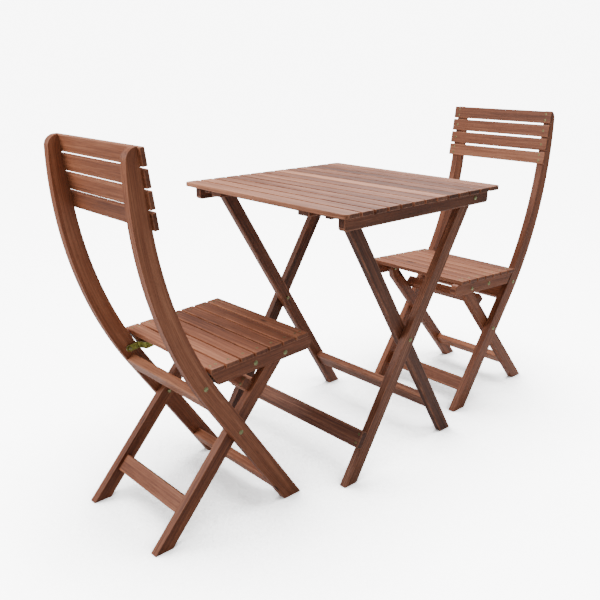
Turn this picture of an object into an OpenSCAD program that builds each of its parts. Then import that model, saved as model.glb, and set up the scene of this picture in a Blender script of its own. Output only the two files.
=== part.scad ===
// Folding patio dining set: a square slatted table on crossed legs and two slatted
// chairs with long curved posts. Millimetres, Z up. The origin is on the floor
// under the middle of the table top; the slats run along X and the chairs face
// the table along Y.

/* [Table top] */
// Height of the table top above the floor
table_height = 720; // [640:1:800]
// Length of the top slats, along X
table_length = 610; // [560:1:760]
// Depth of the top across its slats, along Y
table_depth = 592; // [580:1:720]
// Number of inner top slats
inner_slats = 11; // [9:1:11]
// Width of an inner top slat
inner_slat_w = 38; // [30:0.5:40]
// Width of each of the two edge slats
edge_slat_w = 46; // [38:0.5:52]
// Corner radius of the edge slats
top_corner_r = 12; // [4:1:20]
// Thickness of every slat
slat_t = 11; // [8:0.5:16]
// Height of the rails under the top
table_rail_h = 34; // [30:1:50]
// Radius of the lower corners of the rails
table_rail_r = 8; // [3:1:16]
// Distance from the slat ends to the outer face of a rail
table_rail_inset = 23; // [12:1:40]
// Distance from the top's near and far edges to the rail ends
table_rail_end_inset = 21; // [10:1:40]
// Width of the two battens laid flat under the slats
batten_w = 38; // [24:1:50]
// Thickness of the battens
batten_t = 12; // [8:1:18]
// Distance from the middle of the top to each batten's centre line
batten_x = 167; // [90:1:172]

/* [Table legs] */
// Thickness of the table legs, along X
leg_t = 20; // [16:0.5:26]
// Width of the table legs, seen from the side
leg_w = 37; // [30:0.5:44]
// Height of the crossing bolts above the floor
table_cross_h = 344; // [300:1:400]
// Distance from the top pivots to the far ends of the rails
pivot_inset = 58; // [45:1:80]
// Distance from the underside of the slats down to the top pivots
pivot_drop = 16; // [14:0.5:17]
// Height of the middle of the lapped outer stretcher above the floor
outer_bar_h = 100; // [85:1:160]
// Height of the middle of the inner stretcher above the floor
inner_bar_h = 106; // [85:1:160]
// Width of the table stretchers
table_bar_w = 46; // [24:1:50]
// Thickness of the table stretchers
table_bar_t = 19; // [12:0.5:22]
// Width of the inner legs' flat top bar
top_bar_w = 24; // [18:1:36]
// Thickness of the inner legs' flat top bar
top_bar_t = 13; // [9:0.5:18]

/* [Chair placing] */
// Sideways place of both chairs, from the middle of the table
chair_x = 22; // [-60:1:60]
// Distance from the middle of the table to each chair's crossing bolts
chair_y = 505; // [490:1:620]

/* [Chair frame] */
// Half the width over the posts and over the seat rails
chair_half_w = 170; // [150:1:210]
// Thickness of posts, rear legs and rails, along X
chair_t = 20; // [16:0.5:24]
// Height of the top of the posts
chair_height = 887; // [860:1:960]
// Height of the crossing bolts above the floor
chair_cross_h = 232; // [220:1:245]
// Lean of the straight part of the posts, degrees from upright
post_lean = 34; // [33:0.5:35]
// Width of the posts, seen from the side
post_w = 44; // [40:0.5:48]
// Length of the straight part of the posts, from the floor
post_straight = 400; // [390:1:410]
// Radius of the curve along the front edge of the posts
post_front_r = 918; // [900:1:940]
// Radius of the curve along the rear edge of the posts
post_rear_r = 927; // [910:1:950]
// Lean of the flat front face that carries the back slats, degrees from upright
back_lean = 8; // [7:0.5:9]
// Radius of the rounded rear corner at the top of the posts
post_top_r = 26; // [14:1:28]
// Lean of the rear legs, degrees from upright
rear_lean = 41.5; // [40:0.5:43]
// Width of the rear legs, seen from the side
rear_w = 35; // [30:0.5:38]

/* [Chair seat and back] */
// How far the chair slats run past the posts at each end
chair_slat_over = 8; // [2:1:20]
// Width of the seat slats and back slats
chair_slat_w = 36; // [28:0.5:38]
// Distance from one chair slat to the next, edge to same edge
chair_slat_pitch = 41; // [39:0.5:44]
// Backward slope of the seat in degrees
seat_slope = 2.9; // [0:0.1:4]
// Height of the seat rails
seat_rail_h = 36; // [30:1:42]
// Distance from the front pivots forward to the front edge of the seat slats
seat_front = 66.5; // [55:0.5:75]
// Distance that the rounded rail ends stand out past the front slat
rail_nose = 17; // [6:1:22]

/* [Chair linkage] */
// Distance from the crossing bolt along the rear leg to the front pivot
front_pivot_d = 208; // [200:0.5:215]
// Distance from the crossing bolt along the post to the link pivot
post_pivot_d = 163; // [155:0.5:170]
// Distance from the front pivot back along the seat to the link pivot
rail_pivot_d = 88; // [84:0.5:96]
// Width of the steel links
link_w = 18; // [14:0.5:20]
// Thickness of the steel links
link_t = 3; // [2:0.25:4]

/* [Chair crossbars] */
// Width of the bars between the posts
post_bar_w = 42; // [30:1:48]
// Thickness of the bars between the posts
post_bar_t = 22; // [16:0.5:24]
// Distance from the crossing bolt up the post to the middle of the mid bar
mid_bar_d = 123; // [118:1:126]
// Distance from the crossing bolt down the post to the middle of the lower bar
low_bar_d = 201; // [180:1:215]
// Width of the rear stretcher between the rear legs
rear_bar_w = 42; // [30:1:48]
// Thickness of the rear stretcher
rear_bar_t = 18; // [14:0.5:20]
// Distance from the crossing bolt down the rear leg to the rear stretcher
rear_bar_d = 206; // [180:1:225]
// Width of the bar under the seat, along the rear legs
seat_bar_w = 26; // [20:1:30]
// Thickness of the bar under the seat
seat_bar_t = 28; // [20:1:30]
// Distance from the crossing bolt up the rear leg to the bar under the seat
seat_bar_d = 100; // [90:1:104]

/* [Fasteners] */
// Shank radius of the bolts
bolt_r = 3; // [2.5:0.25:4]
// Head radius of the bolts
bolt_head_r = 5; // [4.5:0.25:8]
// Head height of the bolts
bolt_head_h = 2.6; // [2:0.1:4]
// Shank radius of the wood screws
screw_r = 1.7; // [1.2:0.1:2.2]
// Head radius of the wood screws
screw_head_r = 3.6; // [2.8:0.1:4.5]
// Length of the slat screws under the slat's top face
screw_l = 30; // [24:1:32]

/* [Clearances] */
// Gap between neighbouring pieces that turn beside each other
side_gap = 1; // [0.4:0.1:2]
// Radial clearance of bolts and screws in their holes
bore_gap = 0.05; // [0.02:0.01:0.1]
// Gap where a moving piece rests close to another at rest
rest_gap = 1; // [0.5:0.1:2]
// Gap between the rear ends of the seat rails and the posts
post_gap = 6; // [2:0.5:10]

/* [Hidden] */

wood = "#8a5540";
wood_dark = "#6f4030";
zinc = "#9aa06a";
steel = "#b9b9b4";

far = 2000;                                 // longer than any piece
fine = 200;                                 // facets of a large circle
$fn = 48;

// ---- table, worked out ----
under_top = table_height - slat_t;
rail_outer_x = table_length/2 - table_rail_inset;
rail_inner_x = rail_outer_x - leg_t;
outer_leg_x = rail_inner_x - side_gap/2 - leg_t;      // inner face of the outer legs
inner_leg_x = outer_leg_x - side_gap - leg_t;         // inner face of the inner legs
rail_half_y = table_depth/2 - table_rail_end_inset;
pivot_y = rail_half_y - pivot_inset;
pivot_z = under_top - pivot_drop;
// the legs cross where the two frames lean the same way from the middle
cross_y = 2;
leg_lean = atan((pivot_y - cross_y)/(pivot_z - table_cross_h));
slat_gap = (table_depth - 2*edge_slat_w - inner_slats*inner_slat_w)/(inner_slats + 1);
slat_pitch = inner_slat_w + slat_gap;
first_slat_y = -(inner_slats - 1)/2*slat_pitch;
edge_slat_y = table_depth/2 - edge_slat_w/2;
crossbar_z = under_top - batten_t - rest_gap - top_bar_t;   // underside of the inner legs' top bar
crossbar_y = cross_y - (crossbar_z - table_cross_h)*tan(leg_lean) - top_bar_t/2;
inner_top_y = cross_y - (under_top - table_cross_h)*tan(leg_lean);
leg_half_y = leg_w/2/cos(leg_lean);                   // half a leg's width along the floor

// ---- chair, worked out; its own frame has the crossing bolt above the origin,
// the sitter faces +Y, and [y, z] pairs are places in the side view ----
post_inner_x = chair_half_w - chair_t;
rear_outer_x = post_inner_x - side_gap;
rear_inner_x = rear_outer_x - chair_t;
link_x = rear_inner_x - 2*side_gap;                   // outer face of the links' long part
cross = [0, chair_cross_h];
post_dir = [-sin(post_lean), cos(post_lean)];         // up the post
post_side = [cos(post_lean), sin(post_lean)];         // towards the post's front
rear_dir = [sin(rear_lean), cos(rear_lean)];          // up the rear leg
rear_side = [-cos(rear_lean), sin(rear_lean)];        // towards the rear leg's upper face
rear_pivot_off = 4.5;                                 // front pivot, off the leg's middle
rail_pivot_off = 3;                                   // link pivot, above the front pivot's line
post_pivot = cross + post_pivot_d*post_dir;
front_pivot = cross + front_pivot_d*rear_dir + rear_pivot_off*rear_side;
seat_dir = [cos(seat_slope), sin(seat_slope)];        // forward along the seat
seat_up = [-sin(seat_slope), cos(seat_slope)];
rail_pivot = front_pivot - rail_pivot_d*seat_dir + rail_pivot_off*seat_up;
rail_top = 21.5;                                      // top of the rails, from the front pivot
rail_low = rail_top - seat_rail_h;
rear_head_r = min(rear_w/2 - 4, rail_top - rest_gap); // round head of the rear legs, under the slats
chair_slat_l = 2*(chair_half_w + chair_slat_over);
seat_slats = 7;
back_slats = 4;
seat_slats_d = (seat_slats - 1)*chair_slat_pitch + chair_slat_w;
// corners where the posts' curves begin, and the centres of the curves
post_foot = cross - chair_cross_h/cos(post_lean)*post_dir;
curve_start = post_foot + post_straight*post_dir;
front_start = curve_start + post_w/2*post_side;
rear_start = curve_start - post_w/2*post_side;
front_centre = front_start + post_front_r*post_side;
rear_centre = rear_start + post_rear_r*post_side;
// the flat front face starts here and runs up along back_dir
flat_start = front_centre - post_front_r*[cos(back_lean), sin(back_lean)];
back_dir = [-sin(back_lean), cos(back_lean)];
back_out = [cos(back_lean), sin(back_lean)];
back_top = flat_start + ((chair_height - flat_start[1])/cos(back_lean) - slat_t*tan(back_lean))*back_dir;
post_top_y = rear_centre[0] - post_rear_r;            // rearmost line of the posts
bar_x = post_inner_x;                                 // bars end at the posts' inner faces
rear_bar_x = rear_inner_x;
overhang_screw_x = chair_half_w - chair_t/2;          // screws run down the middle of the rails

// Extrudes a side view drawn as [y, z] along X, from x0 over t
module side_plate(x0, t) {
  translate([x0, 0, 0]) rotate([90, 0, 90]) linear_extrude(t) children();
}

// The same side view as a left and a right piece
module side_pair(x0, t) {
  side_plate(x0, t) children();
  side_plate(-x0 - t, t) children();
}

// Strip of width w from a to b in the side view, with square ends
module strip(a, b, w) {
  run = norm(b - a);
  translate(a) rotate(atan2(b[1] - a[1], b[0] - a[0])) translate([0, -w/2]) square([run, w]);
}

// Rectangle w along dir and t across it, centred at c in the side view
module bar_section(c, dir, w, t) {
  translate(c) rotate(atan2(dir[1], dir[0])) square([w, t], center = true);
}

module above_floor() { translate([-far/2, 0]) square([far, far]); }

// Round hole for a bolt at p in the side view
module bolt_hole(p) { translate(p) circle(bolt_r + bore_gap); }

// Bolt along X at p: round head outside at x_head, shank to x_end, nut over the last nut_h
module bolt(p, x_head, x_end, nut_at, nut_h = 5) {
  translate([0, p[0], p[1]]) rotate([0, 90, 0]) {
    difference() {
      union() {
        translate([0, 0, x_end]) cylinder(r = bolt_r, h = x_head - x_end);
        translate([0, 0, x_head]) cylinder(r = bolt_head_r, h = bolt_head_h);
        translate([0, 0, nut_at - nut_h]) cylinder(r = bolt_head_r, h = nut_h, $fn = 6);
      }
      translate([0, 0, x_head + bolt_head_h - 1.6]) cylinder(r = 2.3, h = far, $fn = 6);
    }
  }
}

module bolt_pair(p, x_head, x_end, nut_at, nut_h = 5) {
  bolt(p, x_head, x_end, nut_at, nut_h);
  mirror([1, 0, 0]) bolt(p, x_head, x_end, nut_at, nut_h);
}

// Wood screw pointing down Z with its head's top at the origin; grow makes its hole
module screw(l, grow = 0) {
  head_h = 1.8;
  translate([0, 0, -head_h]) cylinder(r = screw_head_r + grow, h = head_h + (grow > 0 ? 1 : 0));
  translate([0, 0, -l - (grow > 0 ? 1 : 0)]) cylinder(r = screw_r + grow, h = l + (grow > 0 ? 1 : 0));
}

// ================= table =================

// Side views of the two leg frames: the outer one leans to +Y going up
module outer_leg_side() {
  foot = [cross_y - table_cross_h*tan(leg_lean), 0];
  pivot = [pivot_y, pivot_z];
  dir = (pivot - foot)/norm(pivot - foot);
  difference() {
    union() {
      intersection() {
        strip(foot - 60*dir, pivot, leg_w);
        above_floor();
      }
      translate(pivot) circle(pivot_drop - rest_gap);
    }
    bolt_hole(pivot);
    bolt_hole([cross_y, table_cross_h]);
  }
}

module inner_leg_side() {
  foot = [cross_y + table_cross_h*tan(leg_lean), 0];
  head = [inner_top_y, under_top];
  dir = (head - foot)/norm(head - foot);
  difference() {
    intersection() {
      strip(foot - 60*dir, head + 60*dir, leg_w);
      translate([-far/2, 0]) square([far, under_top - rest_gap]);
    }
    bolt_hole([cross_y, table_cross_h]);
  }
}

module outer_leg(x0) {
  color(wood) difference() {
    side_plate(x0, leg_t) outer_leg_side();
    stretcher_screw_places() screw(table_bar_t + 16, bore_gap);
  }
}
module table_left_outer_leg() { outer_leg(-outer_leg_x - leg_t); }
module table_right_outer_leg() { outer_leg(outer_leg_x); }
module table_left_inner_leg() { color(wood_dark) side_plate(-inner_leg_x - leg_t, leg_t) inner_leg_side(); }
module table_right_inner_leg() { color(wood_dark) side_plate(inner_leg_x, leg_t) inner_leg_side(); }

// Lapped stretcher on the outer legs' upper faces, near their feet
outer_dir = [sin(leg_lean), cos(leg_lean)];
outer_up = [-cos(leg_lean), sin(leg_lean)];
outer_bar_c = [cross_y - (table_cross_h - outer_bar_h)*tan(leg_lean), outer_bar_h]
  + (leg_w + table_bar_t)/2*outer_up;
outer_bar_x = outer_leg_x + leg_t;

module stretcher_screw_places() {
  for (sx = [-1, 1], s = [-1, 1]) {
    c = outer_bar_c + s*table_bar_w/4*outer_dir + table_bar_t/2*outer_up;
    translate([sx*(outer_bar_x - leg_t/2), c[0], c[1]]) rotate([90 - leg_lean, 0, 0]) children();
  }
}

module table_outer_stretcher() {
  color(wood) difference() {
    side_plate(-outer_bar_x, 2*outer_bar_x)
      bar_section(outer_bar_c, outer_dir, table_bar_w, table_bar_t);
    stretcher_screw_places() screw(table_bar_t + 16, bore_gap);
  }
}

module table_stretcher_screws() {
  color(zinc) stretcher_screw_places() screw(table_bar_t + 16);
}

module table_pivot_bolts() {
  color(zinc) bolt_pair([pivot_y, pivot_z], rail_outer_x + 0.3, outer_leg_x - 5.4, outer_leg_x - 0.3);
}

module table_crossing_bolts() {
  color(zinc) bolt_pair([cross_y, table_cross_h], outer_bar_x, inner_leg_x - 5.4, inner_leg_x - 0.3);
}

module table_inner_stretcher() {
  c = [cross_y + (table_cross_h - inner_bar_h)*tan(leg_lean), inner_bar_h];
  color(wood) side_plate(-inner_leg_x, 2*inner_leg_x)
    bar_section(c, [-sin(leg_lean), cos(leg_lean)], table_bar_w, table_bar_t);
}

module table_inner_crossbar() {
  color(wood_dark) side_plate(-inner_leg_x, 2*inner_leg_x)
    translate([crossbar_y, crossbar_z]) square([top_bar_w, top_bar_t]);
}

module table_rail_side() {
  r = table_rail_r;
  low_z = under_top - table_rail_h;
  difference() {
    union() {
      translate([-rail_half_y, low_z + r]) square([2*rail_half_y, table_rail_h - r]);
      translate([-rail_half_y + r, low_z]) square([2*(rail_half_y - r), table_rail_h]);
      for (s = [-1, 1]) translate([s*(rail_half_y - r), low_z + r]) circle(r);
    }
    bolt_hole([pivot_y, pivot_z]);
  }
}

module table_rail(x0) {
  color(wood) difference() {
    side_plate(x0, leg_t) table_rail_side();
    slat_screw_places() screw(screw_l, bore_gap);
  }
}
module table_left_rail() { table_rail(-rail_outer_x); }
module table_right_rail() { table_rail(rail_inner_x); }

// One screw per inner slat and two per edge slat, above each rail
module slat_screw_places() {
  for (sx = [-1, 1]) translate([sx*(rail_inner_x + leg_t/2), 0, table_height]) {
    for (i = [0:inner_slats - 1]) translate([0, first_slat_y + i*slat_pitch, 0]) children();
    for (sy = [-1, 1], s = [-0.62, 0.2]) translate([0, sy*(edge_slat_y + s*edge_slat_w/2), 0]) children();
  }
}

module table_inner_slats() {
  color(wood) difference() {
    for (i = [0:inner_slats - 1])
      translate([-table_length/2, first_slat_y + i*slat_pitch - inner_slat_w/2, under_top])
        cube([table_length, inner_slat_w, slat_t]);
    slat_screw_places() screw(screw_l, bore_gap);
  }
}

// Edge slat along +Y with its two outer corners rounded
module edge_slat() {
  r = top_corner_r;
  translate([0, edge_slat_y, under_top]) linear_extrude(slat_t) union() {
    translate([-table_length/2, -edge_slat_w/2]) square([table_length, edge_slat_w - r]);
    translate([-table_length/2 + r, -edge_slat_w/2]) square([table_length - 2*r, edge_slat_w]);
    for (s = [-1, 1]) translate([s*(table_length/2 - r), edge_slat_w/2 - r]) circle(r);
  }
}

module table_edge_slats() {
  color(wood) difference() {
    union() {
      edge_slat();
      mirror([0, 1, 0]) edge_slat();
    }
    slat_screw_places() screw(screw_l, bore_gap);
  }
}

module table_battens() {
  half_y = table_depth/2 - 4;
  color(wood_dark) for (s = [-1, 1])
    translate([s*batten_x - batten_w/2, -half_y, under_top - batten_t])
      cube([batten_w, 2*half_y, batten_t]);
}

// Blocks under the slats that stop the inner legs from spreading
module table_catch_blocks() {
  y1 = inner_top_y - leg_half_y - rest_gap - 12*tan(leg_lean);
  block_l = rail_half_y + y1;
  color(wood_dark) for (s = [-1, 1])
    translate([s*(inner_leg_x + leg_t/2) - leg_t/2, y1 - block_l, under_top - 12])
      cube([leg_t, block_l, 12]);
}

module table_slat_screws() { color(zinc) slat_screw_places() screw(screw_l); }

// ================= chairs =================

module near_chair() { translate([chair_x, -chair_y, 0]) children(); }
module far_chair() { translate([chair_x, chair_y, 0]) rotate([0, 0, 180]) children(); }

// Side view of a curved post: straight foot, curve, flat face for the back slats
module post_side_view() {
  top = chair_height;
  difference() {
    union() {
      intersection() {
        strip(post_foot - 60*post_dir, curve_start, post_w);
        above_floor();
      }
      intersection() {
        difference() {
          translate(rear_centre) circle(post_rear_r, $fn = fine);
          translate(front_centre) circle(post_front_r, $fn = fine);
        }
        polygon([curve_start - 40*post_side, curve_start + 40*post_side,
          curve_start + 40*post_side + 260*post_dir + [60, 0],
          [flat_start[0] + 60, top], [post_top_y - 60, top]]);
      }
    }
    // the flat front face, from flat_start up
    polygon([flat_start, flat_start + 200*back_dir, flat_start + 200*back_dir + 60*back_out,
      flat_start + 60*back_out]);
    // rounded rear corner at the top
    translate([post_top_y + post_top_r, top - post_top_r]) difference() {
      translate([-post_top_r - 5, 0]) square([post_top_r + 5, post_top_r + 1]);
      circle(post_top_r);
    }
    bolt_hole(cross);
    bolt_hole(post_pivot);
  }
}

module post(x0) {
  color(wood) difference() {
    side_plate(x0, chair_t) post_side_view();
    back_screw_places() screw(slat_t + 12, bore_gap);
  }
}
module left_post() { post(-chair_half_w); }
module right_post() { post(post_inner_x); }

// Centre of back slat i, on the slats' rear plane; slat 0 is the top one
function back_slat_c(i) = back_top - (chair_slat_w/2 + i*chair_slat_pitch)*back_dir;

// Two screws per end in the first and last slat, one in the others
module back_screw_places() {
  for (sx = [-1, 1], i = [0:back_slats - 1]) {
    double = i == 0 || i == back_slats - 1;
    for (s = double ? [-1, 1] : [0]) {
      c = back_slat_c(i) + s*chair_slat_w/4*back_dir + slat_t*back_out;
      translate([sx*overhang_screw_x, c[0], c[1]]) rotate([-90 + back_lean, 0, 0]) children();
    }
  }
}

module back_slats() {
  color(wood) difference() {
    side_plate(-chair_slat_l/2, chair_slat_l) for (i = [0:back_slats - 1])
      bar_section(back_slat_c(i) + slat_t/2*back_out, back_dir, chair_slat_w, slat_t);
    back_screw_places() screw(slat_t + 12, bore_gap);
  }
}
module back_screws() { color(zinc) back_screw_places() screw(slat_t + 12); }

// Bars between the posts, flush with the posts' rear edges
module post_bar(d) {
  c = cross + d*post_dir - (post_w - post_bar_t)/2*post_side;
  side_plate(-bar_x, 2*bar_x) bar_section(c, post_dir, post_bar_w, post_bar_t);
}
module mid_bar() { color(wood) post_bar(mid_bar_d); }
module low_bar() { color(wood) post_bar(-low_bar_d); }

// Bolts at the crossing and at the link pivots; both stay with the posts
module post_bolts() {
  color(zinc) {
    bolt_pair(cross, chair_half_w, rear_inner_x - 5.4, rear_inner_x - 0.3);
    bolt_pair(post_pivot, chair_half_w, post_inner_x - link_t - 5.6, post_inner_x - link_t - 0.6, 4.6);
  }
}

module rear_leg_side() {
  foot = cross - chair_cross_h/cos(rear_lean)*rear_dir;
  head = front_pivot;
  difference() {
    union() {
      intersection() {
        strip(foot - 60*rear_dir, cross + (front_pivot_d - 8)*rear_dir, rear_w);
        above_floor();
      }
      translate(head) circle(rear_head_r);
    }
    bolt_hole(cross);
    bolt_hole(front_pivot);
  }
}
module rear_leg(x0) {
  color(wood) difference() {
    side_plate(x0, chair_t) rear_leg_side();
    bar_screw_places() screw(bar_screw_l, bore_gap);
  }
}
module left_rear_leg() { rear_leg(-rear_outer_x); }
module right_rear_leg() { rear_leg(rear_inner_x); }

module rear_stretcher() {
  c = cross - rear_bar_d*rear_dir;
  color(wood) side_plate(-rear_bar_x, 2*rear_bar_x) bar_section(c, rear_dir, rear_bar_w, rear_bar_t);
}

// Bar lapped on the rear legs' upper faces, under the seat
seat_bar_c = cross + seat_bar_d*rear_dir + (rear_w + seat_bar_t)/2*rear_side;
seat_bar_x = rear_inner_x + 11;                       // half its length
bar_screw_l = seat_bar_t + 14;

module bar_screw_places() {
  for (sx = [-1, 1], s = [-1, 1]) {
    c = seat_bar_c + s*seat_bar_w/4*rear_dir + seat_bar_t/2*rear_side;
    translate([sx*(rear_inner_x + 5.5), c[0], c[1]]) rotate([90 - rear_lean, 0, 0]) children();
  }
}
module seat_bar() {
  color(wood) difference() {
    side_plate(-seat_bar_x, 2*seat_bar_x) bar_section(seat_bar_c, rear_dir, seat_bar_w, seat_bar_t);
    bar_screw_places() screw(bar_screw_l, bore_gap);
  }
}
module bar_screws() { color(zinc) bar_screw_places() screw(bar_screw_l); }

// Front pivot bolts, through the rails and the tops of the rear legs
module front_bolts() {
  color(zinc) bolt_pair(front_pivot, chair_half_w + 0.3, rear_inner_x - 5.4, rear_inner_x);
}

// The seat is drawn with the front pivot at its origin and its slats level
module at_seat() { translate(front_pivot) rotate(seat_slope) children(); }
module at_seat_3d() {
  translate([0, front_pivot[0], front_pivot[1]]) rotate([seat_slope, 0, 0]) children();
}

module seat_rail_side() {
  nose = seat_front + rail_nose;
  nose_r = seat_rail_h/2;
  difference() {
    intersection() {
      at_seat() union() {
        translate([-far/2, rail_low]) square([far/2 + nose - nose_r, seat_rail_h]);
        translate([nose - nose_r, rail_low + nose_r]) circle(nose_r);
      }
      // everything in front of the post, with a gap
      translate(cross + (post_w/2 + post_gap)*post_side) rotate(post_lean)
        translate([0, -far/2]) square([far, far]);
    }
    bolt_hole(front_pivot);
    bolt_hole(rail_pivot);
  }
}

// One screw per end, two in the first and last slat
module seat_screw_places() {
  for (sx = [-1, 1], i = [0:seat_slats - 1]) {
    ends = i == 0 || i == seat_slats - 1;
    y = seat_front - chair_slat_w/2 - i*chair_slat_pitch;
    for (s = ends ? [-1, 1] : [0])
      at_seat_3d() translate([sx*overhang_screw_x, y + s*chair_slat_w/5, rail_top + slat_t]) children();
  }
}

module seat_rail(x0) {
  color(wood) difference() {
    side_plate(x0, chair_t) seat_rail_side();
    seat_screw_places() screw(screw_l, bore_gap);
  }
}
module left_seat_rail() { seat_rail(-chair_half_w); }
module right_seat_rail() { seat_rail(post_inner_x); }

module seat_slats_all() {
  color(wood) difference() {
    at_seat_3d() for (i = [0:seat_slats - 1])
      translate([-chair_slat_l/2, seat_front - chair_slat_w - i*chair_slat_pitch, rail_top])
        cube([chair_slat_l, chair_slat_w, slat_t]);
    seat_screw_places() screw(screw_l, bore_gap);
  }
}
module seat_screws() { color(zinc) seat_screw_places() screw(screw_l); }

// Bolts of the rail ends of the links, with a spacer tube inside the rail; they stop
// just short of the link
module link_bolts() {
  end_x = link_x + 0.3;
  color(zinc) for (m = [0, 1]) mirror([m, 0, 0])
    translate([0, rail_pivot[0], rail_pivot[1]]) rotate([0, 90, 0]) difference() {
      union() {
        translate([0, 0, end_x]) cylinder(r = bolt_r, h = chair_half_w - end_x);
        translate([0, 0, end_x]) cylinder(r = bolt_head_r, h = post_inner_x - end_x);
        translate([0, 0, chair_half_w]) cylinder(r = bolt_head_r, h = bolt_head_h);
      }
      translate([0, 0, chair_half_w + bolt_head_h - 1.6]) cylinder(r = 2.3, h = far, $fn = 6);
    }
}

// Steel link: flat on the post, a joggle inwards, then straight to the rail pivot
module link() {
  run = norm(rail_pivot - post_pivot);
  turn = atan2(rail_pivot[1] - post_pivot[1], rail_pivot[0] - post_pivot[0]);
  post_face = post_inner_x - 0.3;
  flat = 26;                                // length of the flat on the post
  step = 10;                                // length of the joggle
  color(zinc) translate([0, post_pivot[0], post_pivot[1]]) rotate([turn, 0, 0]) {
    difference() {
      union() {
        translate([post_face - link_t, 0, -link_w/2]) cube([link_t, flat, link_w]);
        translate([post_face - link_t, 0, 0]) rotate([0, 90, 0]) cylinder(r = link_w/2, h = link_t);
        translate([0, 0, -link_w/2]) linear_extrude(link_w)
          polygon([[post_face, flat - link_t], [post_face, flat], [link_x, flat + step],
            [link_x - link_t, flat + step], [link_x - link_t, flat + step - link_t/2],
            [post_face - link_t, flat - link_t]]);
        translate([link_x - link_t, flat + step - link_t/2, -link_w/2])
          cube([link_t, run - flat - step + link_t/2, link_w]);
        translate([link_x - link_t, run, 0]) rotate([0, 90, 0]) cylinder(r = link_w/2, h = link_t);
        translate([link_x - link_t - 3.5, run, 0]) rotate([0, 90, 0])
          cylinder(r = bolt_head_r, h = 4, $fn = 6);
      }
      translate([0, 0, 0]) rotate([0, 90, 0]) cylinder(r = bolt_r + bore_gap, h = far);
    }
  }
}
module right_link() { link(); }
module left_link() { mirror([1, 0, 0]) link(); }

table_inner_slats();
table_edge_slats();
table_left_rail();
table_right_rail();
table_battens();
table_catch_blocks();
table_slat_screws();
table_left_outer_leg();
table_right_outer_leg();
table_outer_stretcher();
table_stretcher_screws();
table_pivot_bolts();
table_crossing_bolts();
table_left_inner_leg();
table_right_inner_leg();
table_inner_stretcher();
table_inner_crossbar();
near_chair() left_post();  // near_chair_left_post
near_chair() right_post();  // near_chair_right_post
near_chair() back_slats();  // near_chair_back_slats
near_chair() mid_bar();  // near_chair_mid_bar
near_chair() low_bar();  // near_chair_low_bar
near_chair() back_screws();  // near_chair_back_screws
near_chair() post_bolts();  // near_chair_post_bolts
near_chair() left_rear_leg();  // near_chair_left_rear_leg
near_chair() right_rear_leg();  // near_chair_right_rear_leg
near_chair() rear_stretcher();  // near_chair_rear_stretcher
near_chair() seat_bar();  // near_chair_seat_bar
near_chair() bar_screws();  // near_chair_bar_screws
near_chair() front_bolts();  // near_chair_front_bolts
near_chair() left_seat_rail();  // near_chair_left_seat_rail
near_chair() right_seat_rail();  // near_chair_right_seat_rail
near_chair() seat_slats_all();  // near_chair_seat_slats
near_chair() seat_screws();  // near_chair_seat_screws
near_chair() link_bolts();  // near_chair_link_bolts
near_chair() left_link();  // near_chair_left_link
near_chair() right_link();  // near_chair_right_link
far_chair() left_post();  // far_chair_left_post
far_chair() right_post();  // far_chair_right_post
far_chair() back_slats();  // far_chair_back_slats
far_chair() mid_bar();  // far_chair_mid_bar
far_chair() low_bar();  // far_chair_low_bar
far_chair() back_screws();  // far_chair_back_screws
far_chair() post_bolts();  // far_chair_post_bolts
far_chair() left_rear_leg();  // far_chair_left_rear_leg
far_chair() right_rear_leg();  // far_chair_right_rear_leg
far_chair() rear_stretcher();  // far_chair_rear_stretcher
far_chair() seat_bar();  // far_chair_seat_bar
far_chair() bar_screws();  // far_chair_bar_screws
far_chair() front_bolts();  // far_chair_front_bolts
far_chair() left_seat_rail();  // far_chair_left_seat_rail
far_chair() right_seat_rail();  // far_chair_right_seat_rail
far_chair() seat_slats_all();  // far_chair_seat_slats
far_chair() seat_screws();  // far_chair_seat_screws
far_chair() link_bolts();  // far_chair_link_bolts
far_chair() left_link();  // far_chair_left_link
far_chair() right_link();  // far_chair_right_link
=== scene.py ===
"""Looks for the folding patio set: oiled hardwood boards with eased edges, zinc
screws, domed bolts and bent steel links. The battens, the catch blocks and the inner
legs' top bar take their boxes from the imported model; the rest repeats its sizes.

Metres, Z up. A board is a rounded rectangle carried along two edge lines. Each
chair is worked out once in its own side view, as (y, z) places with the sitter
facing +Y, and then set down near or far.
"""
import math

import bpy
import numpy as np
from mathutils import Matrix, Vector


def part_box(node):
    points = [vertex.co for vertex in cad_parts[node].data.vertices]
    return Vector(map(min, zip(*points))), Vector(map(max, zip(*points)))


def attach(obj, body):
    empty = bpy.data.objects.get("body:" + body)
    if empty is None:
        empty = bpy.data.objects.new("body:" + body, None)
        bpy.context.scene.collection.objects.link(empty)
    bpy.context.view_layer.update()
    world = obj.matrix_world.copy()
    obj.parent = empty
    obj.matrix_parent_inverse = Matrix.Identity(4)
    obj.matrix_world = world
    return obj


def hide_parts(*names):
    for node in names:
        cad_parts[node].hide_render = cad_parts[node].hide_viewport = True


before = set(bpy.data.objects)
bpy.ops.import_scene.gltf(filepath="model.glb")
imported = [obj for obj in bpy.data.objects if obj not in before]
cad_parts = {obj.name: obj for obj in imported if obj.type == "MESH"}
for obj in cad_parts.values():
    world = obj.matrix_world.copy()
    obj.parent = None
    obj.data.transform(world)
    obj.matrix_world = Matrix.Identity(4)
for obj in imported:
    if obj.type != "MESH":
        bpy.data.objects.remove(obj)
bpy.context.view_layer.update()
MM = 0.001
HEAD = (5/6*MM, MM)    # bolt profiles are drawn in mm for a head radius of 6, narrowed to 5
HAIR = 0.0003          # how far hardware stands off the wood behind it

# ---------------------------------------------------------------- camera

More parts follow.
